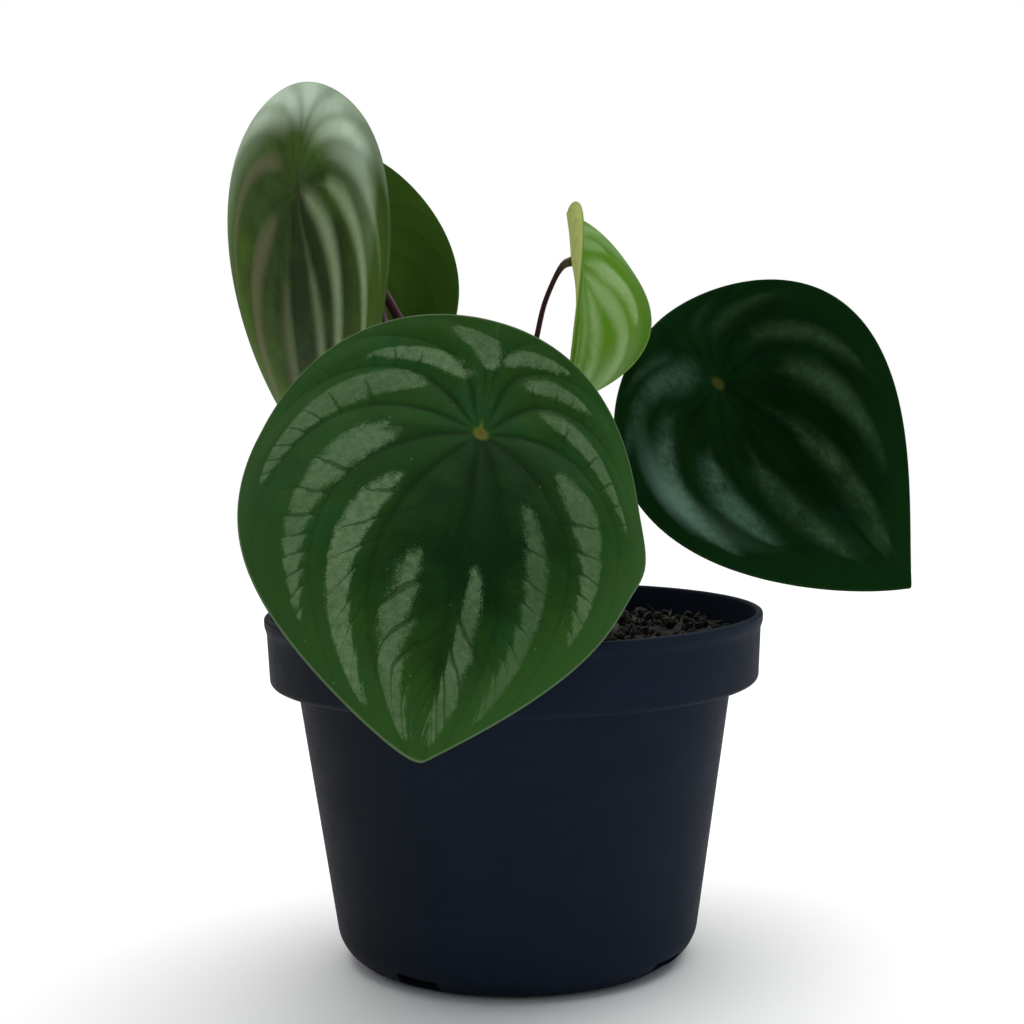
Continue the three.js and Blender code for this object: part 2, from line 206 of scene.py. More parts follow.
# both halves of an even blade, from the outermost stripe on the right round to that on the left
evenStripes = [(side * first, side * last, *rest)
               for side in (-1, 1) for first, last, *rest in halfStripes[::-side]]
markings = {
    "1": {"stripes": [
        (-5.6, -5.3, 0.66, 0.92, 4.4, 0.95), (-4.5, -4.48, 0.56, 0.84, 3.8, 0.85),
        (-3.68, -3.3, 0.46, 0.84, 4.8, 0.75), (-2.4, -2.38, 0.40, 0.92, 5.4, 0.72),
        (-1.48, -1.47, 0.36, 0.97, 3.8, 0.54), (-0.52, -0.2, 0.47, 0.97, 4.9, 0.74),
        (0.46, 0.9, 0.49, 0.97, 3.6, 0.85), (1.38, 1.64, 0.37, 0.965, 4.2, 1.1),
        (2.26, 2.26, 0.33, 0.94, 5.2, 0.86), (3.65, 3.2, 0.42, 0.90, 7.0, 0.72),
        (4.75, 4.4, 0.46, 0.80, 4.4, 1.08), (6.4, 5.95, 0.58, 0.91, 4.6, 1.0)],
        "swerve": (0.42, 0.55, 0.75), "lines": 1.0, "point": 1.9,
        # painted shade over the left part near the margin
        "paintedShade": [(2.6, 1.3, 0.7, 0.92, 0.25)]},
    "2": {"stripes": [
        (3.45, 2.85, 0.29, 0.95, 3.6, 0.75), (1.62, 1.85, 0.24, 1.0, 3.8, 0.75),
        (0.6, 0.65, 0.36, 1.0, 2.8, 0.6), (-0.8, -0.62, 0.38, 1.0, 2.0, 0.7),
        (-1.9, -1.0, 0.12, 1.0, 3.2, 0.85), (-2.6, -2.2, 0.40, 0.96, 3.6, 0.9),
        (-3.5, -3.3, 0.55, 0.95, 3.0, 0.4), (4.4, 4.4, 0.50, 1.0, 4.0, 0.5),
        (-4.4, -4.5, 0.55, 0.95, 4.0, 0.5)],
        "swerve": (-0.45, -1.9, 2.2), "lines": 0.1, "relief": 0.12,
        # patches of painted highlight where the blade catches the sky's shine; a negative strength takes it
        # back
        "paintedHighlight": [(6.5, 1.8, 0.47, 0.93, 1.0), (-4.4, 1.1, 0.36, 0.8, 0.7),
                  (-4.0, 1.4, 0.82, 0.98, -0.9), (4.8, 0.9, 0.5, 0.85, 0.45)],
        # painted shade at the right edge and on the navel's base side
        "paintedShade": [(-4.3, 1.1, 0.8, 0.97, 0.45), (-6.4, 1.2, 0.7, 0.3, 0.35)]},
    # leaf 3: painted shade over one side of its blade, about vein 1.4
    "3": {"stripes": evenStripes, "lines": 0.5, "relief": 0.3, "paintedShade": [(1.4, 2.0, 0.3, 0.9, 0.85)]},
    "4": {"stripes": [
        (-5.5, -5.3, 0.40, 0.95, 2.4, 0.8), (-4.5, -4.1, 0.30, 0.70, 3.0, 0.7),
        (-2.5, -2.55, 0.14, 0.84, 3.6, 1.0), (-1.0, -2.1, 0.14, 1.2, 2.8, 1.0),
        (-0.56, -0.82, 0.24, 1.2, 2.0, 1.0), (-0.2, 0.0, 0.20, 0.95, 1.0, 0.8),
        (1.0, 1.5, 0.20, 1.0, 2.2, 1.0), (2.5, 2.6, 0.18, 0.92, 2.7, 1.0),
        (4.3, 3.8, 0.34, 0.88, 2.3, 0.9)],
        "swerve": (-0.4, -1.2, 1.6), "lines": 0.3, "relief": 0.4,
        # patches of painted highlight
        "paintedHighlight": [(-1.3, 1.2, 0.7, 0.98, 0.8), (-5.0, 1.0, 0.55, 0.95, 0.6)]},
    "5": {"stripes": [
        (-5.6, -5.55, 0.62, 0.88, 2.4, 0.4), (-4.75, -4.6, 0.52, 0.88, 3.4, 0.6),
        (-3.43, -3.22, 0.50, 0.87, 4.0, 0.9), (-2.42, -2.38, 0.46, 0.88, 5.0, 1.0),
        (-1.28, -1.15, 0.38, 0.88, 4.4, 1.0), (1.38, 1.33, 0.44, 0.85, 4.6, 0.95),
        (2.39, 2.32, 0.50, 0.82, 5.8, 1.1), (3.5, 3.35, 0.54, 0.80, 5.4, 1.0),
        (3.3, 3.15, 0.66, 0.92, 7.2, 1.4), (4.5, 4.6, 0.24, 0.93, 4.4, 0.7),
        (5.3, 5.3, 0.65, 0.93, 2.8, 0.5)],
        "gather": 0.19, "lines": 0.1, "relief": 0.4, "navel": 1.1, "point": 0.1,
        # painted highlight on the left of the blade, taken back towards the margin
        "paintedHighlight": [(3.5, 0.6, 0.70, 0.82, 0.5), (3.5, 0.9, 0.84, 0.96, -0.6)]},
}

bladeLook = {
    "thickness": 0.9, "edgeThickness": 0.5, "foldWidth": 1.5,  # mm
    "veins": 13, "perVein": 18, "ringsAbove": 100, "ringsBelow": 50, "ringsRound": 5,
    "crowdAbove": 0.95, "crowdBelow": 0.9,  # powers that crowd the rings towards the margin
    "quilting": 0.32, "veinGroove": 0.12, "veinRidge": 0.3, "veinWidth": 0.9, "wave": 0.42,  # mm
    "edgePower": 6, "quiltPower": 1.5, "wavePower": 5, "grooveShare": 0.2,
    "funnel": 0.8, "funnelRadius": 4.5, "navelRadius": 1.85,  # mm
    "pointWidth": 0.42,  # radians of the navel's point
    "fullLength": 70,  # a blade shorter than this from navel to tip has shallower relief
    "reliefFrom": (0.04, 0.3), "reliefTo": (0.86, 1), "reliefWidth": (1.5, 8), "grooveWidth": (0.6, 3),
    "navelSheenFrom": (0.02, 0.1), "navelSheenTo": (0.15, 0.5),
    "spread": 0.81, "spreadPower": 3.4, "sweep": 0.21, "sweepPower": 1.3, "swervePower": 14,
}

# Stripes open and close over these lengths of reach, and fill at most this share of the room between
# veins, by their distance from the midrib. Side veins by stripe: how many, how crowded, how slanted
patternLook = {
    "opening": 0.2, "openingRight": 0.3, "openingPower": 0.6, "closing": 0.09, "closingPower": 0.5,
    "lateBend": 2.5, "fillAt": [0.8, 1.2, 2.8, 3.6], "fill": [0.85, 0.65, 0.65, 1.3],
    "stripes": [0.5, 1.5, 2.5], "sideVeins": [7.8, 10, 8.6], "crowding": [2.5, 3.5, 5],
    "slant": [0.34, 0.26, 0.24], "fewerRight": 0.65,
    # where the painted shade along the midrib lies, in veins and reach
    "shadeMiddle": -0.6, "shadeWidth": 1.9, "shadeReach": (0.45, 0.98),
}


def bladeAxes(leaf):
    # along, across and normal of the blade from its compass direction, lean and turn
    facing, lean, turn = (math.radians(leaf[k]) for k in ("facing", "lean", "turn"))
    normal = np.array([math.cos(lean) * math.sin(facing), -math.cos(lean) * math.cos(facing), math.sin(lean)])
    down = np.array([math.sin(lean) * math.sin(facing), -math.sin(lean) * math.cos(facing), -math.cos(lean)])
    along = math.cos(turn) * down + math.sin(turn) * np.cross(down, normal)
    return np.cross(along, normal), along, normal


def teardrop(taper, blunt, s):
    # half width where the squared sine of half the angle is s: the sine of the angle, times s plus
    # the squared bluntness to the power of half the taper
    return 2 * np.sqrt(s * (1 - s)) * (s + blunt ** 2) ** (taper / 2)


def bladeOutline(leaf, angle):
    # the teardrop scaled to each side's width, against the cosine from base to tip; it swells with
    # the doubled angle and in a bell of its own where the margin bulges
    taper, blunt = leaf["taper"], leaf.get("blunt", 0)
    slant = 1 + taper - 2 * blunt ** 2
    atWidest = (slant + math.sqrt(slant ** 2 + 4 * (2 + taper) * blunt ** 2)) / (2 * (2 + taper))
    half = teardrop(taper, blunt, np.sin(angle / 2) ** 2) / teardrop(taper, blunt, atWidest)
    side = np.where(np.sin(angle) >= 0, leaf["left"], -leaf["right"])
    swell = 1 + leaf["skew"] * np.sin(2 * angle)
    if "bulge" in leaf:
        away = np.degrees(np.arctan2(np.sin(angle), np.cos(angle))) - leaf["bulge"]["at"]
        swell = swell + leaf["bulge"]["share"] * np.exp(-(away / leaf["bulge"]["width"]) ** 2)
    y = swell * ((leaf["toBase"] + leaf["toTip"]) * (1 + np.cos(angle)) / 2 - leaf["toBase"])
    return swell * side * half, y


def curledPoint(leaf, x, y, height):
    # the flat point rolled on two arcs, one across and one along the blade, with height measured
    # square to the surface; an arc of curvature k turns a length s into sin(ks)/k and (cos(ks)-1)/k,
    # so a flat part has the least curvature in place of 0
    across, along, normal = bladeAxes(leaf)
    least = 1e-6
    left = x >= 0
    bend = np.where(left, leaf["curlLeft"], leaf["curlRight"])
    bend = bend + np.where(left, leaf.get("riseLeft", 0), leaf.get("riseRight", 0)) * y
    bend = np.where(np.abs(bend) < least, least, bend)
    fold = np.radians(np.where(left, leaf.get("foldLeft", 0), leaf.get("foldRight", 0)))
    fold = fold * smooth(np.abs(x), 0, bladeLook["foldWidth"])
    slope = fold + bend * np.abs(x)
    sidestep = (np.sin(slope) - np.sin(fold)) / bend + height * np.sin(slope)
    drop = (np.cos(slope) - np.cos(fold)) / bend + height * np.cos(slope)
    pitchBend = np.where(y >= 0, leaf["curlTip"], leaf["curlBase"])
    pitchBend = np.where(np.abs(pitchBend) < least, least, pitchBend)
    pitch = pitchBend * y
    forward = np.sin(pitch) / pitchBend + drop * np.sin(pitch)
    outward = (np.cos(pitch) - 1) / np.abs(pitchBend) * np.sign(pitchBend) + drop * np.cos(pitch)
    parts = ((np.sign(x) * sidestep, across), (forward, along), (outward, normal))
    return np.array(leaf["navel"]) + sum(amount[..., None] * axis for amount, axis in parts)


def veinAngle(marks, vein, reach):
    # a vein leaves the navel wide and bends towards the tip: the angle that it meets the margin at,
    # plus a sine of it that falls away with the reach, less a doubled sine that grows. Some blades
    # have their midrib and its neighbours swerved to one side, by a bell of the vein's number
    look = bladeLook
    if "swerve" in marks:
        amount, middle, width = marks["swerve"]
        held = 1 - reach ** look["swervePower"]
        vein = vein + amount * np.exp(-((vein - middle) / width) ** 2) * held
    turn = 2 * np.pi * vein / look["veins"]
    spread = look["spread"] - reach ** look["spreadPower"] - marks.get("gather", 0)
    return turn + spread * np.sin(turn) - look["sweep"] * reach ** look["sweepPower"] * np.sin(2 * turn)


def fromVein(vein, middle):
    # signed distance round the blade, in veins
    count = bladeLook["veins"]
    return (vein - middle + count / 2) % count - count / 2


def patches(listed, vein, reach):
    # a sum of soft patches: a bell of the vein's number about a middle, coming on with the reach
    total = 0 * reach
    for middle, width, start, end, amount in listed:
        total = total + amount * np.exp(-(fromVein(vein, middle) / width) ** 2) * smooth(reach, start, end)
    return total


def bladeFields(marks, vein, reach, spacing, seed):
    # what the finish reads at each point. silver: mm inside the edge of the nearest stripe, its half
    # width less the distance from its middle, drawn in to a point at both ends. phase: passes a whole
    # number at each side vein, which run out and towards the tip, closer and closer. The highlight and
    # shade patches: pale patches of painted highlight and dark patches of painted shade. shade: painted
    # shade along the midrib, a bell of the vein's number
    look = patternLook
    rng = np.random.default_rng(seed)
    count = bladeLook["veins"]
    aside = bladeLook["perVein"] // 2
    silver = np.full(vein.shape, -9.0)
    sheen = np.zeros(vein.shape)
    spacing = np.maximum(spacing, (np.roll(spacing, aside, 1) + np.roll(spacing, -aside, 1)) / 2)
    for first, last, start, end, half, strength in marks["stripes"]:
        share = np.clip((reach - start) / (end - start), 0, 1)
        middle = first + (last - first) * share ** (look["lateBend"] if abs(first) < 1 else 1)
        opening = (reach - start) / look["openingRight" if -2 < first < 0 else "opening"]
        opening = np.sign(opening) * np.abs(opening) ** look["openingPower"]
        closing = (end - reach) / look["closing"]
        closing = np.sign(closing) * np.abs(closing) ** look["closingPower"]
        taper = np.clip(np.minimum(opening, closing), -1, 1)
        room = np.interp(abs(first), look["fillAt"], look["fill"]) * spacing
        widest = np.where(taper > 0, np.minimum(half, room), half)
        inside = widest * taper - np.abs(fromVein(vein, middle)) * spacing
        sheen = np.where(inside > silver, strength, sheen)
        silver = np.maximum(silver, inside)
    outer = np.abs(vein)
    fromInner = outer - np.floor(outer)
    stripe = np.floor(outer) + 0.5
    cell = np.clip(np.floor(vein + count / 2 + 0.5).astype(int), 0, count)
    sideVeins, crowding, slant = (
        np.interp(stripe, look["stripes"], look[k]) for k in ("sideVeins", "crowding", "slant"))
    sideVeins = sideVeins * np.where((vein < 0) & (outer < 1), look["fewerRight"], 1)
    begun = np.maximum(reach - slant * (fromInner - 0.5), 0)
    # painted shade: darker green along the midrib, strongest near the navel
    shade = np.exp(-((vein - look["shadeMiddle"]) / look["shadeWidth"]) ** 2)
    return {"silver": silver, "sheen": sheen, "reach": reach, "around": vein, "outer": outer,
            "fromInner": fromInner, "fromMiddle": np.abs(fromInner - 0.5) * 2,
            "phase": sideVeins * begun ** crowding + rng.uniform(0, 1, count + 1)[cell],
            "shade": shade * (1 - smooth(reach, *look["shadeReach"])),
            "paintedShade": patches(marks.get("paintedShade", []), vein, reach),
            "paintedHighlight": np.clip(patches(marks.get("paintedHighlight", []), vein, reach), 0, 1)}


def makeBlade(name, leaf, marks, material, seed):
    # one closed skin: rings of constant reach from the navel over the upper face, round the rim and
    # back under to the navel. Height adds quilting between veins, a funnel at the navel and a wave
    look = bladeLook
    columns = look["veins"] * look["perVein"]
    vein = (np.arange(columns) / look["perVein"] - look["veins"] / 2)[None, :]
    above = np.linspace(0, 1, look["ringsAbove"] + 1)[1:] ** look["crowdAbove"]
    below = np.linspace(1, 0, look["ringsBelow"] + 1)[:-1] ** look["crowdBelow"]
    roundRim = np.radians(np.linspace(90, -90, look["ringsRound"] + 2)[1:-1])
    reach = np.concatenate([above, np.ones(len(roundRim)), below])[:, None]
    lift = np.concatenate([np.ones(len(above)), np.sin(roundRim), -np.ones(len(below))])[:, None]
    outset = np.concatenate([0 * above, np.cos(roundRim), 0 * below])[:, None]
    x, y = bladeOutline(leaf, veinAngle(marks, vein, reach))
    size = np.hypot(x, y)
    radius = size * reach
    thinner = (look["thickness"] - look["edgeThickness"]) * (1 - reach ** look["edgePower"])
    half = (look["edgeThickness"] + thinner) / 2
    grow = reach + outset * half / size
    step = np.hypot(x - np.roll(x, 1, 1), y - np.roll(y, 1, 1)) * reach
    spacing = (step + np.roll(step, -1, 1)) / 2 * look["perVein"]  # mm from vein to vein
    fields = bladeFields(marks, vein + 0 * reach, reach + 0 * vein, spacing, seed)
    awayFromVein = (1 - fields["fromMiddle"]) / 2 * spacing
    veinWidth = np.minimum(look["veinWidth"], look["grooveShare"] * spacing)
    groove = np.exp(-(awayFromVein / veinWidth) ** 2) * smooth(spacing, *look["grooveWidth"])
    scale = min(1, leaf["toTip"] / look["fullLength"])
    relief = marks.get("relief", 1) * smooth(spacing, *look["reliefWidth"])
    relief = relief * smooth(reach, *look["reliefFrom"]) * (1 - smooth(reach, *look["reliefTo"]))
    turns = 2 * np.pi * vein / look["veins"]
    ripple = np.sin(3 * turns + seed) + 0.6 * np.sin(5 * turns + 2.1 * seed)
    quilt = np.cos(np.pi / 2 * fields["fromMiddle"]) ** look["quiltPower"]
    middle = look["quilting"] * scale * quilt * relief
    middle = middle - look["funnel"] * scale * np.exp(-(radius / look["funnelRadius"]) ** 2)
    middle = middle + look["wave"] * scale * reach ** look["wavePower"] * ripple
    carved = look["veinGroove"] * (lift > 0.9) + look["veinRidge"] * (lift < -0.9)
    height = middle + lift * half - carved * groove * relief
    points = curledPoint(leaf, x * grow, y * grow, height)
    fields["underside"] = (lift < 0) + 0 * fields["reach"]
    fields["nearVein"] = groove
    # painted sheen between the veins near the navel, where the bulges catch the sky; its colour is set per
    # leaf
    fields["navelSheen"] = (1 - fields["fromMiddle"]) * smooth(reach, *look["navelSheenFrom"])
    fields["navelSheen"] = fields["navelSheen"] * (1 - smooth(reach, *look["navelSheenTo"]))
    fields["toRim"] = (1 - reach) * size
    fromTip = (turns + 0.1) % (2 * np.pi) - np.pi
    pointed = look["navelRadius"] + marks.get("point", 0.4) * np.exp(-(fromTip / look["pointWidth"]) ** 2)
    fields["navel"] = radius / (pointed * max(scale, 0.8) * marks.get("navel", 1))
    piece = gridMesh(name, points, material, fields)
    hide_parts(name.replace("_blade", ""))


# Peperomia leaf: a fleshy, waxy blade. The green comes through a clear skin, so it is satin with a
# soft sky shine; air under the skin makes the silver stripes, which end in fine grains.

# the pale highlight colour paints a highlight, the dark green also paints shade, the wedge colour a sheen
greenLeaf = {
    "green": "#234818", "deep": "#082607", "margin": "#325625", "olive": "#36501a", "teal": "#1b502e",
    "silver": "#657f59", "silverLeft": "#657f59", "paintedHighlight": "#93a98c", "vein": "#0a2407",
    "navelSheen": "#264a28", "rim": "#75896a", "underside": "#50683a", "belowVein": "#6f6a45",
    "navel": "#5c6628", "scar": "#5a4c22", "speck": "#8f9a50",
    "grain": 0.34, "clump": 1.6, "blotch": 11, "cast": 14, "streak": 8, "speckSpacing": 5.5,  # mm
    "streaksPerVein": 20, "streaksAlong": 26,
    "roughness": 0.42, "gloss": 0.025, "silverAmount": 0.95, "leftFrom": -0.5,
    "soft": 1.2, "fray": 1.0, "grainy": 0.45, "patchy": 0.3, "veins": 0.7, "shading": 0.9,
    "mottle": 0.3, "flecks": 0.28, "casts": 0.32, "specks": 0.3, "rimAmount": 0.45,
}
leafLooks = {
    "1": greenLeaf,
    "2": {**greenLeaf, "green": "#456021", "deep": "#28341b", "margin": "#4a6525", "olive": "#46451f",
          "teal": "#365338", "silver": "#95a77f", "silverLeft": "#6e6a52", "paintedHighlight": "#d0e6ca",
          "navelSheen": "#33402a", "navel": "#33401f", "scar": "#33401f",
          "roughness": 0.38, "gloss": 0.03, "silverAmount": 0.9,
          "soft": 3.4, "fray": 0.15, "grainy": 0.1, "patchy": 0.2, "veins": 0.25, "shading": 0.8,
          "mottle": 0.5, "flecks": 0.15, "casts": 0.35, "specks": 0, "rimAmount": 0.2},
    # leaf 3 shows its underside: its underside, vein and rim colours are darker copies, painted shade
    "3": {**greenLeaf, "underside": "#3c5b1d", "belowVein": "#3a591c", "rim": "#3c5a24"},
    "4": {**greenLeaf, "green": "#618c28", "deep": "#548518", "margin": "#467012", "olive": "#6a8c1e",
          "teal": "#4e8a30", "silver": "#9cba7e", "silverLeft": "#9cba7e", "paintedHighlight": "#98bc7c",
          "vein": "#548a10", "navelSheen": "#668f2c", "rim": "#8aa552", "underside": "#ced87e",
          "belowVein": "#c8d27c", "navel": "#a5b055", "scar": "#8a8a40", "silverAmount": 0.85,
          "soft": 2.2, "fray": 0.12, "grainy": 0.1, "veins": 0.5, "shading": 0.2,
          "mottle": 0.55, "flecks": 0, "casts": 0.4, "specks": 0},
    # leaf 5: greens darker, partly an older leaf and partly painted shade; its paler, bluer silver on the
    # left is a painted reflection
    "5": {**greenLeaf, "green": "#0e280f", "deep": "#071908", "margin": "#102d11", "olive": "#10260a",
          "teal": "#0a2c1c", "silver": "#385434", "silverLeft": "#4a6956", "paintedHighlight": "#6f9080",
          "vein": "#051608", "navelSheen": "#0a260c", "rim": "#2c4a26", "navel": "#383e18",
          "scar": "#3c3a18", "blotch": 9, "gloss": 0.0, "silverAmount": 0.72, "leftFrom": 0.8,
          "soft": 4.6, "fray": 0.65, "grainy": 0.15, "patchy": 0.75, "veins": 0.4,
          "mottle": 0.55, "flecks": 0.1, "casts": 0.5, "specks": 0, "rimAmount": 0.3},
}


def makeLeafMaterial(name, look, lines):
    # layers of colour laid over the green, each by its own share
    material, tree, shader = newMaterial(name)
    place = add(tree, "TexCoord", out=3)
    names = ("silver", "sheen", "paintedHighlight", "paintedShade", "phase", "fromInner", "fromMiddle", "reach", "around",
             "outer", "shade", "navelSheen", "underside", "nearVein", "navel", "toRim")
    field = {k: add(tree, "Attribute", out=2, attribute_name=k) for k in names}
    outer, reach, around = field["outer"], field["reach"], field["around"]
    grains, clumps, blotches, casts = (
        add(tree, "TexNoise", {"Vector": place, "Scale": 1 / (look[k] * mm), "Detail": detail,
                               "Roughness": rough}, out)
        for k, detail, rough, out in (
            ("grain", 2, 0.6, 0), ("clump", 3, 0.55, 0), ("blotch", 2, 0.5, 0), ("cast", 3, 0.5, 1)))
    castRed, castGreen = (add(tree, "SeparateColor", {0: casts}, out) for out in (0, 1))
    dots = add(tree, "TexVoronoi", {"Vector": place, "Scale": 1 / (look["speckSpacing"] * mm)})
    # streaks: noise drawn out along the veins and crowded together towards the navel
    unrolled = add(tree, "CombineXYZ", {0: outer, 1: reach, 2: add(tree, "SeparateXYZ", {0: place})})
    scale = (look["streaksPerVein"], look["streaksAlong"], 1 / (look["streak"] * mm))
    drawn = add(tree, "Mapping", {"Vector": unrolled, "Scale": scale})
    streaks = add(tree, "TexNoise", {"Vector": drawn, "Scale": 1.0, "Detail": 2, "Roughness": 0.6})
    # shares that move smoothly: what each follows, from where to where, and its value at both
    share = {k: add(tree, "MapRange", dict(enumerate(values)), **softStep) for k, values in {
        "lineLength": (outer, 0.9, 1.1, 0.6, 1.0), "lineWidth": (outer, 0.8, 1.3, 1.5, 1.0),
        "lineStrength": (outer, 4.0, 5.5, 1.0, 0.5), "toothOut": (outer, 2.6, 3.6, 1.0, 0.3),
        "toothAlong": (reach, 0.5, 0.75, 0.4, 1.0), "lineDark": (reach, 0.75, 0.95, 0.28, 0.05),
        "olive": (castRed, 0.48, 0.66, 0.0, look["casts"]),
        "teal": (castGreen, 0.48, 0.66, 0.0, look["casts"]),
        "tip": (reach, 0.72, 1.0, 0.0, 0.9), "tipLeft": (around, 2.0, 4.5, 1.0, 0.35),
        "tipRight": (around, -5.5, -4.0, 0.35, 1.0), "veinDark": (reach, 0.3, 0.95, look["veins"], 0.12),
        "silverLeft": (around, look["leftFrom"], look["leftFrom"] + 1.5, 0.0, 1.0),
        "flecks": (grains, 0.5, 0.8, 0.0, look["flecks"]), "paintedHighlightCast": (castGreen, 0.38, 0.6, 0.8, 1.0),
        "paintedHighlightMiddle": (field["fromMiddle"], 0.2, 1.0, 1.0, 0.7),
        "specks": (dots, 0.03, 0.05, look["specks"], 0.0), "scar": (field["navel"], 0.1, 0.8, 1.0, 0.0),
        "navel": (field["navel"], 0.45, 1.3, 1.0, 0.0),
        "rim": (field["toRim"], 0.05, 0.35, look["rimAmount"], 0.0)}.items()}
    # uneven shares that follow clumps with a second noise
    patchy, mottle, grainy = (
        add(tree, "MapRange", {0: add(tree, "Math", {0: clumps, 1: weight, 2: second}, **timesPlus),
                               1: low, 2: high, 3: first, 4: last})
        for weight, second, low, high, first, last in (
            (0.5, blotches, 0.55, 0.9, 1 - look["patchy"], 1.0),
            (0.3, blotches, 0.5, 0.8, 0.0, look["mottle"]),
            (0.7, grains, 0.65, 1.0, look["grainy"], 0.0)))
    # side veins: a thin line where the phase passes a whole number, bent a little by the blotches,
    # wide where it leaves the inner vein and fading before it reaches the outer one; those of the
    # midrib carry on further
    inner = add(tree, "Math", {0: field["fromInner"], 1: share["lineLength"]}, **times)
    bent = add(tree, "Math", {0: blotches, 1: 0.6, 2: field["phase"]}, **timesPlus)
    bent = add(tree, "Math", {0: clumps, 1: 0.15, 2: bent}, **timesPlus)
    width, fading, depth = (
        add(tree, "MapRange", {0: inner, 1: low, 2: high, 3: first, 4: last}, **softStep)
        for low, high, first, last in (
            (0.15, 0.6, 0.13, 0.04), (0.4, 0.9, lines, 0.2 * lines), (0.2, 0.75, -2.6 * lines, 0.0)))
    width = add(tree, "Math", {0: width, 1: share["lineWidth"]}, **times)
    line = add(tree, "Math", {0: add(tree, "Math", {0: bent, 1: 0.5}, operation="PINGPONG"), 1: width},
               operation="DIVIDE")
    line = add(tree, "MapRange", {0: line, 1: 0.2, 2: 1.0, 3: 1.0, 4: 0.0}, **softStep)
    for factor in (fading, share["lineStrength"]):
        line = add(tree, "Math", {0: line, 1: factor}, **times)
    # silver: inside the stripe, its edge broken up by clumps, streaks and grains, and cut by the side
    # veins into lobes that are widest on the navel's side
    wander = -3.5
    for noise, weight in ((grains, 4.0), (streaks, 2.4), (clumps, 1.6)):
        wander = add(tree, "Math", {0: noise, 1: weight, 2: wander}, **timesPlus)
    ragged = add(tree, "Math", {0: wander, 1: look["fray"], 2: field["silver"]}, **timesPlus)
    for factor in (share["toothOut"], share["toothAlong"]):
        depth = add(tree, "Math", {0: depth, 1: factor}, **times)
    tooth = add(tree, "Math", {0: bent}, operation="FRACT")
    ragged = add(tree, "Math", {0: tooth, 1: depth, 2: ragged}, **timesPlus)
    silver = add(tree, "MapRange", {0: ragged, 1: -look["soft"], 2: look["soft"], 3: 0.0,
                                    4: look["silverAmount"]}, **softStep)
    silver = add(tree, "Math", {0: silver, 1: field["sheen"]}, use_clamp=True, **times)
    cut = add(tree, "MapRange", {0: line, 1: 0.1, 2: 0.9, 3: 1.0, 4: 0.35}, **softStep)
    for factor in (cut, patchy):
        silver = add(tree, "Math", {0: silver, 1: factor}, **times)
    # the remaining shares are products
    part = {}
    for k, factors in {
            "tip": (share["tip"], share["tipLeft"], share["tipRight"]), "navelSheen": (field["navelSheen"], 0.25),
            "vein": (field["nearVein"], share["veinDark"]), "line": (line, share["lineDark"]),
            "paintedHighlight": (field["paintedHighlight"], share["paintedHighlightCast"], share["paintedHighlightMiddle"])}.items():
        part[k] = factors[0]
        for factor in factors[1:]:
            part[k] = add(tree, "Math", {0: part[k], 1: factor}, **times)
    # painted shade along the midrib, with the random mottle, takes the green towards the dark green
    shaded = add(tree, "Math", {0: field["shade"], 1: look["shading"], 2: mottle}, **timesPlus)
    shine = add(tree, "Mix", {0: share["silverLeft"], 6: look["silver"], 7: look["silverLeft"]}, **colourMix)
    shine = add(tree, "Mix", {0: grainy, 6: shine, 7: look["green"]}, **colourMix)
    spot = add(tree, "Mix", {0: share["scar"], 6: look["navel"], 7: look["scar"]}, **colourMix)
    below = add(tree, "Mix", {0: field["nearVein"], 6: look["underside"], 7: look["belowVein"]}, **colourMix)
    # the underside is darkened by the patches of painted shade too
    below = add(tree, "Mix", {0: field["paintedShade"], 6: below, 7: look["deep"]}, **colourMix)
    # the layers from the bottom up: the casts of the green, its mottle and painted shade, its margin,
    # the painted sheen by the navel, its veins, the patches of painted shade and the flecks, the silver,
    # the painted highlight, specks and navel, then the whole underside and the rim
    colour = look["green"]
    for amount, layer in (
            (share["olive"], look["olive"]), (share["teal"], look["teal"]), (shaded, look["deep"]),
            (part["tip"], look["margin"]), (part["navelSheen"], look["navelSheen"]), (part["vein"], look["vein"]),
            (part["line"], look["vein"]), (field["paintedShade"], look["deep"]), (share["flecks"], look["margin"]),
            (silver, shine), (part["paintedHighlight"], look["paintedHighlight"]), (share["specks"], look["speck"]),
            (share["navel"], spot), (field["underside"], below), (share["rim"], look["rim"])):
        colour = add(tree, "Mix", {0: amount, 6: colour, 7: layer}, **colourMix)
    tree.links.new(colour, shader.inputs["Base Color"])
    skin = add(tree, "Math", {0: grains, 1: 0.3, 2: clumps}, **timesPlus)
    skin = add(tree, "Math", {0: line, 1: -0.5, 2: skin}, **timesPlus)
    bump = add(tree, "Bump", {"Strength": 0.3, "Distance": 0.15 * mm, "Height": skin})
    tree.links.new(bump, shader.inputs["Normal"])
    shader.inputs["Roughness"].default_value = look["roughness"]
    shader.inputs["Specular IOR Level"].default_value = look["gloss"]
    shader.inputs["IOR"].default_value = 1.42
    return material


for number, leaf in leaves.items():
    marks = markings[number]
    leafMaterial = makeLeafMaterial("waxyLeaf" + number, leafLooks[number], marks["lines"])
    makeBlade("leaf_" + number + "_blade", leaf, marks, leafMaterial, 3 + int(number))
print("stage: blades")


# Stalks: the routes that the frame's stalks follow, in mm, each ending square to its blade

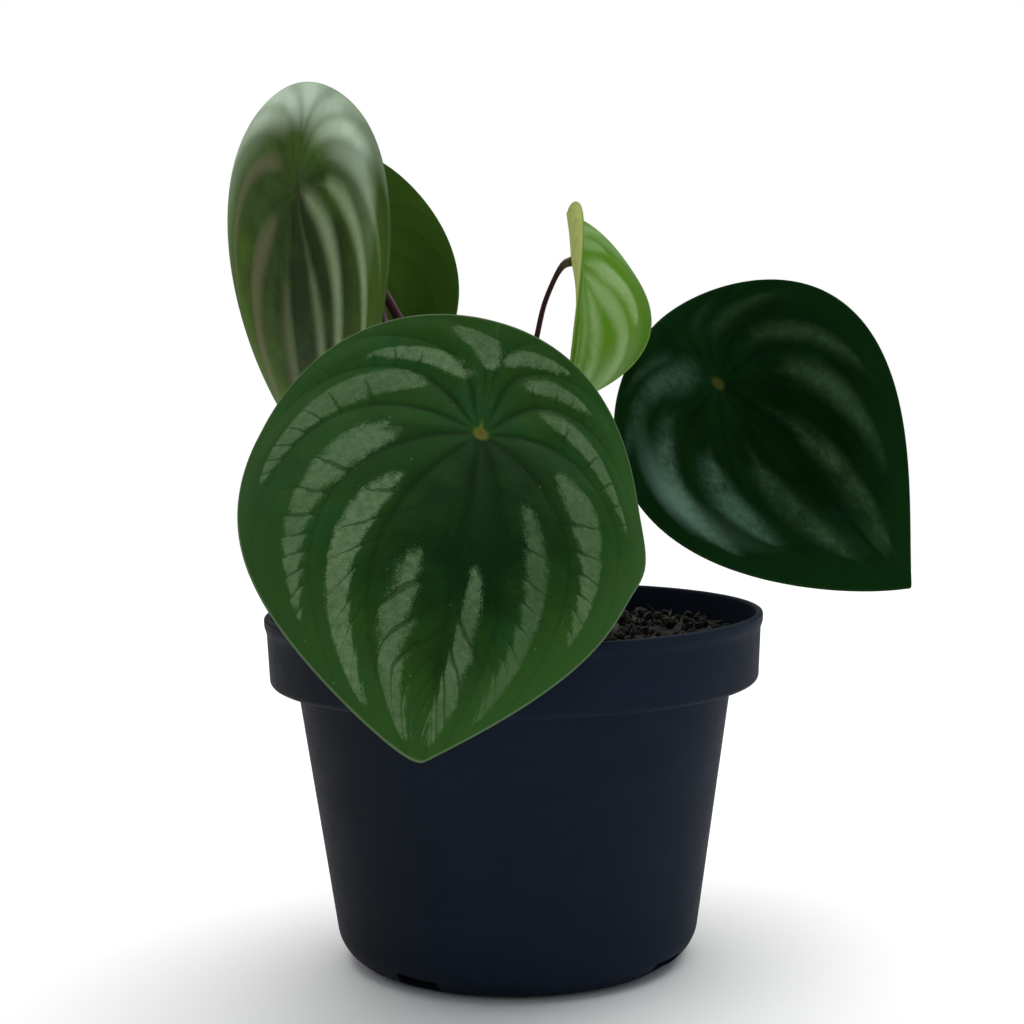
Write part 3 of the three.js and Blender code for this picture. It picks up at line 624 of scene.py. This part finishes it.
stalks = {
    "1": {"foot": 1.7, "tip": 1.2, "arrival": 7,
          "route": [(-0.8, -4.2, 81), (-1.5, -6, 88), (-5, -17, 103), (-9, -33, 116)]},
    "2": {"foot": 1.6, "tip": 1.1, "arrival": 6,
          "route": [(-4, 0.2, 81), (-5.5, 1, 88), (-10, 6, 110), (-19, 12, 138), (-28.5, 17, 157),
                    (-38, 19.5, 173)]},
    "3": {"foot": 1.5, "tip": 1.0, "arrival": 4,
          "route": [(-1.6, 4, 81), (-2.5, 6, 88), (-9, 18, 110), (-22, 36, 135), (-33, 50, 155)]},
    "4": {"foot": 1.0, "tip": 0.62, "arrival": 3,
          "route": [(0.8, 0.3, 81), (1, 0.5, 88), (1.6, 2.5, 110), (3.8, 5.5, 136), (6.7, 6.5, 150.3),
                    (9, 6.5, 159)]},
    "5": {"foot": 1.6, "tip": 1.1, "arrival": 7,
          "route": [(4, 1.6, 81), (5.5, 2.8, 87), (13, 10, 100), (28, 23, 118), (41, 29, 128)]},
}
stalkLook = {
    "sides": 16, "rings": 90, "finer": 6, "ribs": 5, "ribHeight": 0.035, "gap": 0.1,
    "flare": 0.9, "flareLength": 3.5, "footSwell": 0.5, "swellLength": 6,
}


def smoothRoute(route, count):
    # a centripetal Catmull-Rom curve through the route's points, resampled at equal lengths
    p = np.array(route, float)
    p = np.vstack([2 * p[0] - p[1], p, 2 * p[-1] - p[-2]])
    knots = np.concatenate([[0], np.cumsum(np.linalg.norm(np.diff(p, axis=0), axis=1) ** 0.5)])
    t = np.linspace(knots[1], knots[-2], count * stalkLook["finer"])[:, None]
    i = np.clip(np.searchsorted(knots, t[:, 0], side="right") - 1, 1, len(p) - 3)
    k0, k1, k2, k3 = (knots[i + s][:, None] for s in (-1, 0, 1, 2))
    a1 = ((k1 - t) * p[i - 1] + (t - k0) * p[i]) / (k1 - k0)
    a2 = ((k2 - t) * p[i] + (t - k1) * p[i + 1]) / (k2 - k1)
    a3 = ((k3 - t) * p[i + 1] + (t - k2) * p[i + 2]) / (k3 - k2)
    b1 = ((k2 - t) * a1 + (t - k0) * a2) / (k2 - k0)
    b2 = ((k3 - t) * a2 + (t - k1) * a3) / (k3 - k1)
    line = ((k2 - t) * b1 + (t - k1) * b2) / (k2 - k1)
    gone = np.concatenate([[0], np.cumsum(np.linalg.norm(np.diff(line, axis=0), axis=1))])
    even = np.linspace(0, gone[-1], count)
    return np.stack([np.interp(even, gone, line[:, axis]) for axis in range(3)], -1), even


def makeStalk(name, leaf, stalk, material):
    # circles carried along the route, square to it, thinner towards the blade, swollen at the foot
    # and flared where the stalk runs into the navel
    look = stalkLook
    normal = bladeAxes(leaf)[2]
    end = np.array(leaf["navel"]) - normal * (bladeLook["thickness"] / 2 + look["gap"])
    route = [*stalk["route"], end - normal * stalk["arrival"], end - normal * bladeLook["funnel"] * 0.2]
    line, gone = smoothRoute(route, look["rings"])
    tangent = np.gradient(line, axis=0)
    tangent /= np.linalg.norm(tangent, axis=1, keepdims=True)
    side = np.cross(tangent, [0.31, 0.87, 0.12])  # a direction that no stalk runs along
    side /= np.linalg.norm(side, axis=1, keepdims=True)
    over = np.cross(tangent, side)
    share = gone / gone[-1]
    radius = stalk["foot"] + (stalk["tip"] - stalk["foot"]) * smooth(share, 0, 1)
    radius = radius + look["footSwell"] * np.exp(-(gone / look["swellLength"]) ** 2)
    radius = radius + look["flare"] * stalk["tip"] * np.exp(-((gone[-1] - gone) / look["flareLength"]) ** 2)
    turn = np.linspace(0, 2 * np.pi, look["sides"], endpoint=False)
    ribs = 1 + look["ribHeight"] * np.cos(look["ribs"] * turn)[None, :]
    circle = np.cos(turn)[None, :, None] * side[:, None] + np.sin(turn)[None, :, None] * over[:, None]
    points = line[:, None] + circle * (radius[:, None] * ribs)[..., None]
    fields = {"share": (share[:, None] + 0 * turn)[::-1]}
    piece = gridMesh(name, points[::-1], material, fields)
    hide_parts(name.replace("_skin", ""))


def makeStalkMaterial():
    # Fleshy stem skin: smooth and wet-looking, red pigment over green, so it is nearly black-red
    # with a narrow shine and paler, greener at the navel
    material, tree, shader = newMaterial("redStemSkin")
    place = add(tree, "TexCoord", out=3)
    share = add(tree, "Attribute", out=2, attribute_name="share")
    streaks = add(tree, "Mapping", {"Vector": place, "Scale": (1, 1, 0.12)})
    noise = add(tree, "TexNoise", {"Vector": streaks, "Scale": 1 / (0.9 * mm), "Detail": 3})
    skin = add(tree, "Mix", {0: noise, 6: "#30101a", 7: "#4c212b"}, **colourMix)
    near = add(tree, "MapRange", {0: share, 1: 0.93, 2: 1.0, 3: 0.0, 4: 0.6}, **softStep)
    colour = add(tree, "Mix", {0: near, 6: skin, 7: "#5c5a2c"}, **colourMix)
    tree.links.new(colour, shader.inputs["Base Color"])
    bump = add(tree, "Bump", {"Strength": 0.3, "Distance": 0.15 * mm, "Height": noise})
    tree.links.new(bump, shader.inputs["Normal"])
    shader.inputs["Roughness"].default_value = 0.45
    shader.inputs["Specular IOR Level"].default_value = 0.25
    return material


stalkMaterial = makeStalkMaterial()
for number, stalk in stalks.items():
    makeStalk("leaf_stalk_" + number + "_skin", leaves[number], stalk, stalkMaterial)
print("stage: stalks")


# Pot: a thin injection-moulded shell, turned about Z, with four drain slots in its corner. All in mm
# and degrees; the inner lip is given as steps outwards from the wall and down from the top

pot = {
    "height": 84, "rim": 59.4, "lip": 60.0, "lipHeight": 1.6, "lipFlare": 2.6, "lipCorner": 0.6,
    "innerLip": [(0, 0.8), (0.1, 0.25), (0.4, 0)],
    "collarHeight": 16.5, "collarFoot": 58.9, "fillet": 1.6, "shoulder": 52.3, "shoulderFillet": 0.7,
    "foot": 43.9, "corner": 9.5, "draft": 6, "wall": 1.2, "baseRings": (0.5, 12, 24),
    "segments": 288, "longestFace": 3.0,
    "slotAngles": (56, 146, 236, 326), "slotWidth": 11, "slotHeight": 6, "slotDepth": 12,
    "slotTilt": 50, "slotRound": 1.2,
}


def arc(radius, height, size, start, stop, steps):
    # points of an arc about (radius, height), angles in degrees
    angle = np.radians(np.linspace(start, stop, steps + 1))
    return [(radius + size * math.cos(a), height + size * math.sin(a)) for a in angle]


def potProfile(inset):
    # base, rounded corner, straight body and the step out to the collar, moved in by the inset
    foot = pot["height"] - pot["collarHeight"]
    corner, fillet, small = pot["corner"], pot["fillet"], pot["shoulderFillet"]
    return [*((radius, inset) for radius in pot["baseRings"]),
            *arc(pot["foot"] - corner, corner, corner - inset, -90, -pot["draft"], 16),
            *arc(pot["shoulder"] - inset + small, foot - small + inset, small, 180, 90, 4),
            *arc(pot["collarFoot"] - fillet, foot + fillet, fillet - inset, -90, 0, 8)]


def spacedProfile(profile, longest):
    # long straight runs are divided, so that the turned faces stay near square
    points = [profile[0]]
    for a, b in zip(profile, profile[1:]):
        count = max(1, math.ceil(math.hypot(b[0] - a[0], b[1] - a[1]) / longest))
        shares = [s / count for s in range(1, count + 1)]
        points += [(a[0] + (b[0] - a[0]) * s, a[1] + (b[1] - a[1]) * s) for s in shares]
    return np.array(points)


def turned(profile, segments):
    # each (radius, height) goes round Z: (radius sin a, -radius cos a, height)
    angle = np.linspace(0, 2 * np.pi, segments, endpoint=False)
    r, z = profile[:, 0][:, None], profile[:, 1][:, None]
    return np.stack([r * np.sin(angle), -r * np.cos(angle), z + 0 * angle], -1)


def makeSlot(angle):
    # a block across the corner's arc; the angle is measured from the front towards +X
    size = (pot["slotWidth"], pot["slotDepth"], pot["slotHeight"])
    bpy.ops.mesh.primitive_cube_add(size=1)
    block = bpy.context.object
    corner = pot["corner"]
    radius, height = arc(pot["foot"] - corner, corner, corner, -pot["slotTilt"], 0, 1)[0]
    place = Matrix.Rotation(math.radians(angle), 4, "Z") @ Matrix.Translation((0, -radius * mm, height * mm))
    tilt = Matrix.Rotation(math.radians(pot["slotTilt"]), 4, "X")
    block.data.transform(place @ tilt @ Matrix.Diagonal([s * mm for s in size] + [1]))
    bevel = block.modifiers.new("round", "BEVEL")
    bevel.width = pot["slotRound"] * mm
    bevel.segments = 4
    return applyModifiers(block)


def makePot(material):
    # one turned profile: up the outside, flared smoothly into the lip, over it and down the inside
    top, wall = pot["height"], pot["rim"] - pot["wall"]
    flare = np.linspace(0, 1, 7)
    flareRadius = pot["rim"] + (pot["lip"] - pot["rim"]) * smooth(flare, 0, 1)
    flareHeight = top - pot["lipHeight"] - pot["lipFlare"] * (1 - flare)
    outside = [*potProfile(0), *zip(flareRadius, flareHeight),
               *arc(pot["lip"] - pot["lipCorner"], top - pot["lipCorner"], pot["lipCorner"], 0, 90, 6)]
    inside = [*potProfile(pot["wall"]), *((wall + out, top - down) for out, down in pot["innerLip"])]
    profile = spacedProfile([*outside, *inside[::-1]], pot["longestFace"])
    piece = gridMesh("pot_shell", turned(profile, pot["segments"]), material)
    for angle in pot["slotAngles"]:
        block = makeSlot(angle)
        cut = piece.modifiers.new("slot", "BOOLEAN")
        cut.object = block
        cut.operation = "DIFFERENCE"
        applyModifiers(piece)
        bpy.data.objects.remove(block)
    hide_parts("pot")


def makePotMaterial():
    # Recycled polypropylene, injection moulded: blue-black and satin, with faint flow marks round
    # it, a slightly pebbled skin, a film of dust and a painted warm brown reflection on its left side
    material, tree, shader = newMaterial("mouldedPolypropylene")
    place = add(tree, "TexCoord", out=3)
    flat = add(tree, "Mapping", {"Vector": place, "Scale": (0.3, 0.3, 1)})
    flow = add(tree, "TexNoise", {"Vector": flat, "Scale": 1 / (9 * mm), "Detail": 4})
    pebble = add(tree, "TexNoise", {"Vector": place, "Scale": 1 / (0.7 * mm), "Detail": 2})
    dust = add(tree, "TexNoise", {"Vector": place, "Scale": 1 / (5 * mm), "Detail": 6, "Roughness": 0.7})
    film = add(tree, "MapRange", {0: dust, 1: 0.55, 2: 0.8, 3: 0.0, 4: 0.1})
    level = add(tree, "Mapping", {"Vector": place, "Scale": (1, 1, 0)})
    outward = add(tree, "VectorMath", {0: level}, operation="NORMALIZE")
    # the left side, by the outward direction's x with dust to break its edge, takes the painted warm
    # reflection
    side = add(tree, "Math", {0: dust, 1: 0.12, 2: add(tree, "SeparateXYZ", {0: outward})}, **timesPlus)
    paintedWarmReflection = add(tree, "MapRange", {0: side, 1: -0.1, 2: -0.9, 3: 0.0, 4: 0.5}, **softStep)
    colour = "#131b25"
    for amount, layer in ((flow, "#1c2534"), (film, "#383f50"), (paintedWarmReflection, "#18130f")):
        colour = add(tree, "Mix", {0: amount, 6: colour, 7: layer}, **colourMix)
    tree.links.new(colour, shader.inputs["Base Color"])
    rough = add(tree, "MapRange", {0: dust, 1: 0.3, 2: 0.7, 3: 0.55, 4: 0.66})
    tree.links.new(rough, shader.inputs["Roughness"])
    bump = add(tree, "Bump", {"Strength": 0.2, "Distance": 0.1 * mm, "Height": pebble})
    tree.links.new(bump, shader.inputs["Normal"])
    shader.inputs["IOR"].default_value = 1.49
    shader.inputs["Specular IOR Level"].default_value = 0.045
    return material


makePot(makePotMaterial())
print("stage: pot")


# Soil: peat mix that fills the pot, with a crumbled surface and loose crumbs lying on it, in mm.
# Waves are the lengths and heights of its clods; a crumb is a rough ball, a fibre a drawn-out one

soil = {
    "top": 78, "slope": 0.015, "topRadius": 57.7, "middleRadius": 0.4, "edgeDrop": 3,
    "gap": 0.3, "sink": 0.4,
    "rings": 150, "segments": 260,
    "waves": [(9, 0.5), (6, 0.45), (4.2, 0.4), (3, 0.3), (2.1, 0.25), (1.5, 0.18)], "wavesEach": 4,
    "crumbs": {"count": 900, "size": (0.5, 1.9), "tall": 0.8},
    "fibres": {"count": 160, "size": (0.35, 0.8), "tall": 4.5},
    "crumbSides": 6, "crumbRings": (-60, -20, 20, 60), "fewLarge": 2.2,
    "crumbMargin": 1.5, "crumbLift": 0.5, "liftShare": 0.35,
}


def soilHeight(x, y):
    # the frame's broad lumps, a sum of products of sines, which fall a little to the right
    broad = 0.9 * np.sin(0.11 * x + 0.7) * np.cos(0.13 * y + 0.4)
    fine = 0.5 * np.sin(0.43 * x + 0.21 * y) * np.sin(0.37 * y - 0.16 * x + 1.1)
    return soil["top"] + broad + fine - soil["slope"] * x


def soilWaves():
    # each wave: its pace along x and y, a phase and half its height
    waves = []
    for length, size in soil["waves"]:
        for _ in range(soil["wavesEach"]):
            heading = random.uniform(0, 2 * np.pi)
            pace = np.pi / length
            phase = random.uniform(0, 6.3)
            waves.append((pace * math.cos(heading), pace * math.sin(heading), phase, size / 2))
    return waves


def crumble(x, y, waves):
    # fine relief: many sines in random directions, sharpened so that it stands in rounded clods
    return sum(size * np.abs(np.sin(kx * x + ky * y + phase)) for kx, ky, phase, size in waves)


def makeSoil(material):
    # side and underside follow the pot's inside, the top is a disc of rings with the relief on it
    inset = pot["wall"] + soil["gap"]
    side = np.array([*potProfile(inset), (soil["topRadius"], soil["top"] - soil["edgeDrop"])])
    top = np.linspace(soil["topRadius"], soil["middleRadius"], soil["rings"])
    profile = np.vstack([side, np.stack([top, 0 * top + soil["top"]], -1)])
    points = turned(profile, soil["segments"])
    x, y = points[len(side):, :, 0], points[len(side):, :, 1]
    relief = crumble(x, y, soilWaves())
    points[len(side):, :, 2] = soilHeight(x, y) + relief - relief.mean() - soil["sink"]
    piece = gridMesh("soil_bed", points, material)
    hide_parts("soil")


def crumbMesh(name, material, look):
    # a rough ball, rings of corners between two poles, copied with its own size, turn and place on
    # the soil; the root of an even share of the radius spreads the copies evenly, and most are small
    lat = np.radians(soil["crumbRings"])[:, None]
    lon = np.linspace(0, 2 * np.pi, soil["crumbSides"], endpoint=False)
    ball = np.stack([np.cos(lat) * np.cos(lon), np.cos(lat) * np.sin(lon), np.sin(lat) + 0 * lon], -1)
    ball = np.vstack([ball.reshape(-1, 3), [[0, 0, -1], [0, 0, 1]]])
    quads, fans = wrappedFaces(len(soil["crumbRings"]), soil["crumbSides"])
    count, (small, large) = look["count"], look["size"]
    reach = (soil["topRadius"] - soil["crumbMargin"]) * np.sqrt(random.uniform(0, 1, count))
    turn = random.uniform(0, 2 * np.pi, count)
    size = small + (large - small) * random.uniform(0, 1, count) ** soil["fewLarge"]
    axes = np.linalg.qr(random.normal(size=(count, 3, 3)))[0]
    axes[np.linalg.det(axes) < 0, :, 0] *= -1
    wide, deep, tall = (random.uniform(*span, count) for span in ((0.7, 1.1), (0.5, 0.9), (0.8, 1.3)))
    stretch = np.stack([wide, deep, look["tall"] * tall], -1)
    rough = random.uniform(0.8, 1.2, (count, len(ball), 1))
    local = np.einsum("nij,nvj->nvi", axes, ball[None] * rough * stretch[:, None] * size[:, None, None])
    x, y = reach * np.sin(turn), reach * np.cos(turn)
    centre = np.stack([x, y, soilHeight(x, y) + soil["crumbLift"] + soil["liftShare"] * size], -1)
    vertices = (local + centre[:, None]).reshape(-1, 3) * mm
    offsets = np.arange(count)[:, None, None] * len(ball)
    faces = (quads + offsets).reshape(-1, 4).tolist() + (fans + offsets).reshape(-1, 3).tolist()
    mesh = bpy.data.meshes.new(name)
    mesh.from_pydata(vertices.tolist(), [], faces)
    mesh.update()
    placePiece(name, mesh, material)


def makeSoilMaterial(name, dark, light, speck):
    # Peat and composted bark: matt, near black when moist, in brown crumbs with paler fibres
    material, tree, shader = newMaterial(name)
    place = add(tree, "TexCoord", out=3)
    clods = add(tree, "TexNoise", {"Vector": place, "Scale": 1 / (4 * mm), "Detail": 8, "Roughness": 0.7})
    grit = add(tree, "TexVoronoi", {"Vector": place, "Scale": 1 / (1.4 * mm)}, out=1)
    tone = add(tree, "MapRange", {0: clods, 1: 0.35, 2: 0.65, 3: 0.0, 4: 1.0})
    gritTone = add(tree, "SeparateColor", {0: grit})
    pale = add(tree, "MapRange", {0: gritTone, 1: 0.9, 2: 0.96, 3: 0.0, 4: 0.5})
    colour = add(tree, "Mix", {0: tone, 6: dark, 7: light}, **colourMix)
    colour = add(tree, "Mix", {0: pale, 6: colour, 7: speck}, **colourMix)
    tree.links.new(colour, shader.inputs["Base Color"])
    bump = add(tree, "Bump", {"Strength": 0.8, "Distance": 0.6 * mm, "Height": clods})
    tree.links.new(bump, shader.inputs["Normal"])
    shader.inputs["Roughness"].default_value = 0.92
    return material


makeSoil(makeSoilMaterial("moistPeat", "#070504", "#16110d", "#2f261e"))
crumbMesh("soil_crumbs", makeSoilMaterial("peatCrumb", "#0a0705", "#1e1711", "#372c22"), soil["crumbs"])
crumbMesh("soil_fibres", makeSoilMaterial("barkFibre", "#281f18", "#43362a", "#5a4a3a"), soil["fibres"])
print("stage: soil")


# Crown: the short knobbly stem in the middle of the pot

crown = {"radius": 7, "foot": 68, "top": 86.5, "sides": 64, "rings": 60, "knobs": 0.35, "bark": 0.2}


def makeCrown(material):
    # a blunt stub, half an ellipse on a short column, ringed by the scars of old stalks
    share = np.linspace(0, 1, crown["rings"])[:, None]
    turn = np.linspace(0, 2 * np.pi, crown["sides"], endpoint=False)[None, :]
    height = crown["foot"] + (crown["top"] - crown["foot"]) * np.sin(share * np.pi / 2) ** 0.8
    body = crown["radius"] * np.cos(share * np.pi / 2) ** 0.35 * (0.8 + 0.2 * smooth(share, 0, 0.3))
    knobs = crown["knobs"] * np.sin(5 * turn + 9 * share) * np.sin(14 * share)
    knobs = knobs + crown["bark"] * np.sin(11 * turn - 17 * share)
    radius = np.maximum(body + knobs * smooth(share, 0, 0.2) * (1 - share) - 0.4, 0.05)
    points = np.stack([radius * np.cos(turn), radius * np.sin(turn), height + 0 * turn], -1)
    piece = gridMesh("crown_stub", points, material)
    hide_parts("crown")


def makeCrownMaterial():
    # Old stem bark: matt, dry and brown, cracked in rings
    material, tree, shader = newMaterial("stemBark")
    place = add(tree, "TexCoord", out=3)
    noise = add(tree, "TexNoise", {"Vector": place, "Scale": 1 / (1.5 * mm), "Detail": 6})
    colour = add(tree, "Mix", {0: noise, 6: "#241812", 7: "#4d3a2a"}, **colourMix)
    tree.links.new(colour, shader.inputs["Base Color"])
    bump = add(tree, "Bump", {"Strength": 0.6, "Distance": 0.4 * mm, "Height": noise})
    tree.links.new(bump, shader.inputs["Normal"])
    shader.inputs["Roughness"].default_value = 0.8
    return material


makeCrown(makeCrownMaterial())
print("stage: crown")


# Stage and light: a white floor in soft daylight that comes from above and behind, with a low
# window at the left that the tall leaf mirrors and a cool glow behind at the right

studio = {
    "floor": "#fdfdfd", "floorSize": 1.7, "backdrop": "#ffffff", "sky": "#eef3fa",
    "skyStrength": 0.5, "groundStrength": 0.08, "skyFrom": -0.1, "skyTo": 0.5,
    "sun": {"from": (0.12, 0.42, 1.2), "strength": 2.6, "angle": 80, "colour": "#fffdf8"},
    "lights": {
        "window": {"place": (-1.06, 0.50, 0.72), "target": (0, 0, 0.17), "size": (0.75, 0.2),
                   "power": 1.1, "colour": "#fff9f0"},
        "glow": {"place": (1.15, 0.65, 0.22), "target": (0, 0, 0.06), "size": (0.5, 0.4),
                 "power": 0.8, "colour": "#cfdcff"},
    },
}


def placeLight(name, kind, place, target, colour):
    # a light that stands at the place and shines at the target
    data = bpy.data.lights.new(name, kind)
    data.color = hexColour(colour)[:3]
    light = bpy.data.objects.new(name, data)
    bpy.context.scene.collection.objects.link(light)
    towards = Vector(target) - Vector(place)
    light.matrix_world = Matrix.Translation(place) @ towards.to_track_quat("-Z", "Y").to_matrix().to_4x4()
    return data


def makeStudio(look):
    # White paper: matt, so that it shows only the soft contact shadow
    bpy.ops.mesh.primitive_plane_add(size=look["floorSize"])
    floor = bpy.context.object
    floor.name = "floor"
    material, _, shader = newMaterial("paperFloor")
    shader.inputs["Base Color"].default_value = hexColour(look["floor"])
    shader.inputs["Roughness"].default_value = 0.9
    shader.inputs["Specular IOR Level"].default_value = 0.0
    floor.data.materials.append(material)
    # an even sky above the horizon, dim below it; the camera itself sees a plain white backdrop
    world = bpy.data.worlds.new("sky")
    world.use_nodes = True
    tree = world.node_tree
    tree.nodes.clear()
    upward = add(tree, "SeparateXYZ", {0: add(tree, "TexCoord")}, out=2)
    strength = add(tree, "MapRange", {0: upward, 1: look["skyFrom"], 2: look["skyTo"],
                                      3: look["groundStrength"], 4: look["skyStrength"]})
    lit = add(tree, "Background", {"Color": look["sky"], "Strength": strength})
    seen = add(tree, "Background", {"Color": look["backdrop"], "Strength": 1.0})
    mixed = add(tree, "MixShader", {0: add(tree, "LightPath"), 1: lit, 2: seen})
    output = tree.nodes.new("ShaderNodeOutputWorld")
    tree.links.new(mixed, output.inputs[0])
    bpy.context.scene.world = world
    sun = placeLight("sun", "SUN", look["sun"]["from"], (0, 0, 0), look["sun"]["colour"])
    sun.energy = look["sun"]["strength"]
    sun.angle = math.radians(look["sun"]["angle"])
    for name, lamp in look["lights"].items():
        data = placeLight(name, "AREA", lamp["place"], lamp["target"], lamp["colour"])
        data.shape = "RECTANGLE"
        data.size, data.size_y = lamp["size"]
        data.energy = lamp["power"]
    bpy.context.scene.view_settings.view_transform = "Standard"


makeStudio(studio)
print("stage: studio")
